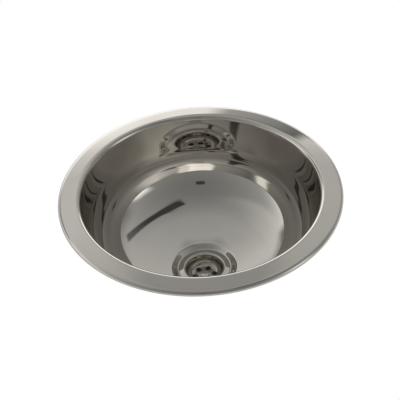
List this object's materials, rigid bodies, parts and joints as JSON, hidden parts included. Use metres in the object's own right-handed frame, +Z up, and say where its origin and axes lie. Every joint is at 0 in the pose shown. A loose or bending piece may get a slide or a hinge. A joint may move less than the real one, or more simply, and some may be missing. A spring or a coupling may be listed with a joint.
{
  "type": "inset vanity sink",
  "caption": "Round mirror-polished steel vanity basin with a sloping rolled rim, deep dished bowl, centre-pin strainer waste and swinging screw clamps underneath.",
  "frame": {"origin": "centre of the rim's seating plane, the top face of the worktop", "axes": "+Z up out of the bowl, the bowl's own axis; the four clamps lie on +X, +Y, -X and -Y"},
  "size_m": [0.32, 0.32, 0.1642],
  "materials": {
    "polished_steel": "mirror-polished stainless steel",
    "plain_steel": "mill-finish stainless steel",
    "zinc_steel": "bright zinc plate",
    "brass": "turned",
    "white_plastic": "moulded polypropylene",
    "black_rubber": "moulded",
    "foam_rubber": "closed-cell strip"
  },
  "bodies": {
    "basin": {"bowl": "polished_steel", "rim_seal": "foam_rubber", "strainer_cup": "polished_steel", "waste_top_seal": "black_rubber", "waste_bottom_seal": "black_rubber", "waste_body": "white_plastic", "waste_insert": "brass", "waste_screw": "polished_steel", "clamp_bracket_1": "plain_steel", "clamp_stud_1": "plain_steel", "clamp_bracket_2": "plain_steel", "clamp_stud_2": "plain_steel", "clamp_bracket_3": "plain_steel", "clamp_stud_3": "plain_steel", "clamp_bracket_4": "plain_steel", "clamp_stud_4": "plain_steel"},
    "washer_1": {"clamp_washer_1": "zinc_steel"},
    "claw_1": {"clamp_claw_1": "zinc_steel"},
    "nut_1": {"clamp_nut_1": "zinc_steel"},
    "washer_2": {"clamp_washer_2": "zinc_steel"},
    "claw_2": {"clamp_claw_2": "zinc_steel"},
    "nut_2": {"clamp_nut_2": "zinc_steel"},
    "washer_3": {"clamp_washer_3": "zinc_steel"},
    "claw_3": {"clamp_claw_3": "zinc_steel"},
    "nut_3": {"clamp_nut_3": "zinc_steel"},
    "washer_4": {"clamp_washer_4": "zinc_steel"},
    "claw_4": {"clamp_claw_4": "zinc_steel"},
    "nut_4": {"clamp_nut_4": "zinc_steel"}
  },
  "joints": [
    {"name": "clamp_lift_1", "type": "slide", "parent": "basin", "child": "washer_1", "axis": [0, 0, 1], "range_m": [-0.016, 0.016]},
    {"name": "nut_turn_1", "type": "hinge", "parent": "washer_1", "child": "nut_1", "pos_m": [0.134, 0, -0.0413], "axis": [0, 0, 1], "range_deg": [-5760, 5760]},
    {"name": "claw_swing_1", "type": "hinge", "parent": "washer_1", "child": "claw_1", "pos_m": [0.134, 0, -0.036], "axis": [0, 0, 1], "range_deg": [-95, 95]},
    {"name": "clamp_lift_2", "type": "slide", "parent": "basin", "child": "washer_2", "axis": [0, 0, 1], "range_m": [-0.016, 0.016]},
    {"name": "nut_turn_2", "type": "hinge", "parent": "washer_2", "child": "nut_2", "pos_m": [0, 0.134, -0.0413], "axis": [0, 0, 1], "range_deg": [-5760, 5760]},
    {"name": "claw_swing_2", "type": "hinge", "parent": "washer_2", "child": "claw_2", "pos_m": [0, 0.134, -0.036], "axis": [0, 0, 1], "range_deg": [-95, 95]},
    {"name": "clamp_lift_3", "type": "slide", "parent": "basin", "child": "washer_3", "axis": [0, 0, 1], "range_m": [-0.016, 0.016]},
    {"name": "nut_turn_3", "type": "hinge", "parent": "washer_3", "child": "nut_3", "pos_m": [-0.134, 0, -0.0413], "axis": [0, 0, 1], "range_deg": [-5760, 5760]},
    {"name": "claw_swing_3", "type": "hinge", "parent": "washer_3", "child": "claw_3", "pos_m": [-0.134, 0, -0.036], "axis": [0, 0, 1], "range_deg": [-95, 95]},
    {"name": "clamp_lift_4", "type": "slide", "parent": "basin", "child": "washer_4", "axis": [0, 0, 1], "range_m": [-0.016, 0.016]},
    {"name": "nut_turn_4", "type": "hinge", "parent": "washer_4", "child": "nut_4", "pos_m": [0, -0.134, -0.0413], "axis": [0, 0, 1], "range_deg": [-5760, 5760]},
    {"name": "claw_swing_4", "type": "hinge", "parent": "washer_4", "child": "claw_4", "pos_m": [0, -0.134, -0.036], "axis": [0, 0, 1], "range_deg": [-95, 95]}
  ],
  "couplings": [
    {"joint": "nut_turn_1", "follows": "clamp_lift_1", "rad_per_m": 6283.2},
    {"joint": "nut_turn_2", "follows": "clamp_lift_2", "rad_per_m": 6283.2},
    {"joint": "nut_turn_3", "follows": "clamp_lift_3", "rad_per_m": 6283.2},
    {"joint": "nut_turn_4", "follows": "clamp_lift_4", "rad_per_m": 6283.2}
  ]
}
